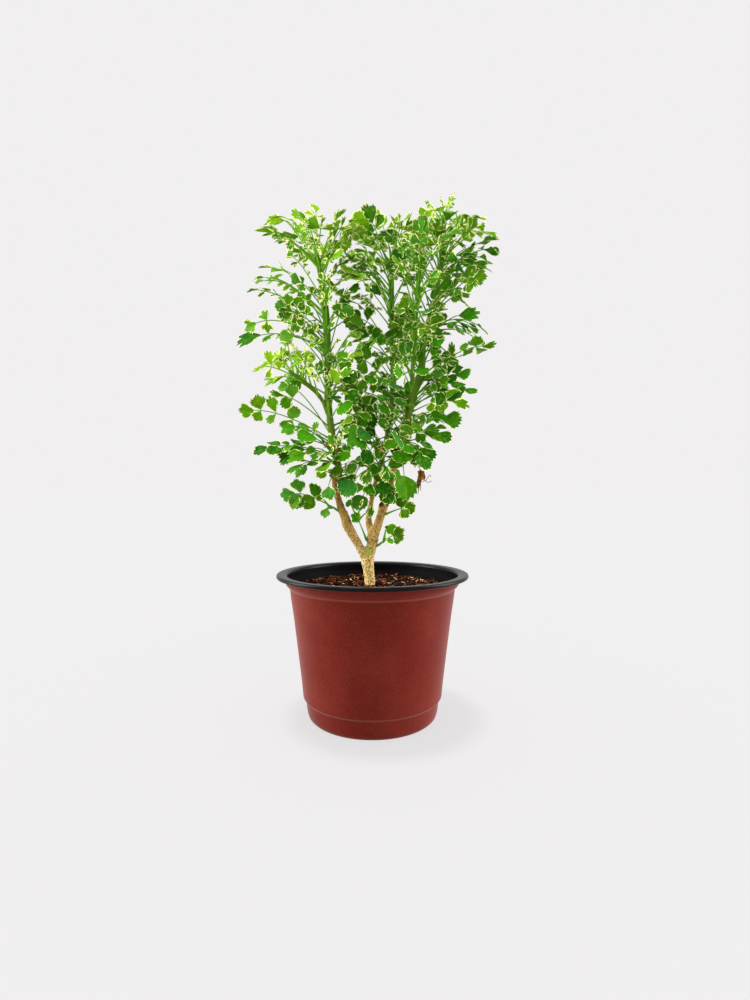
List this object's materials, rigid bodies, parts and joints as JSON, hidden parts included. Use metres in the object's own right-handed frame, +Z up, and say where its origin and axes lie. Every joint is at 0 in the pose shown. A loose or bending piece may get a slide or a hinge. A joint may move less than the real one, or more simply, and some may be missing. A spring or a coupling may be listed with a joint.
{
  "type": "potted ming aralia",
  "caption": "Upright potted foliage plant with a forked woody stem, green stems of toothed leaflets, and a tapered round nursery pot filled with soil.",
  "frame": {"origin": "middle of the pot's foot, on the surface that it stands on", "axes": "+Z up along the pot's axis, -Y towards the viewer of the picture, +X to the right"},
  "size_m": [0.209, 0.1601, 0.4165],
  "materials": {
    "pot_plastic": "satin",
    "soil": "matte",
    "bark": "matte",
    "foliage": "satin",
    "dead_foliage": "matte"
  },
  "bodies": {
    "root": {"pot": "pot_plastic", "soil": "soil", "wood": "bark", "left_stem": "foliage", "centre_stem": "foliage", "mid_stem": "foliage", "right_stem": "foliage", "low_left_sprig": "foliage", "low_right_sprig": "foliage", "base_sprig": "foliage", "inner_twig": "foliage", "dead_leaf": "dead_foliage"}
  },
  "joints": []
}
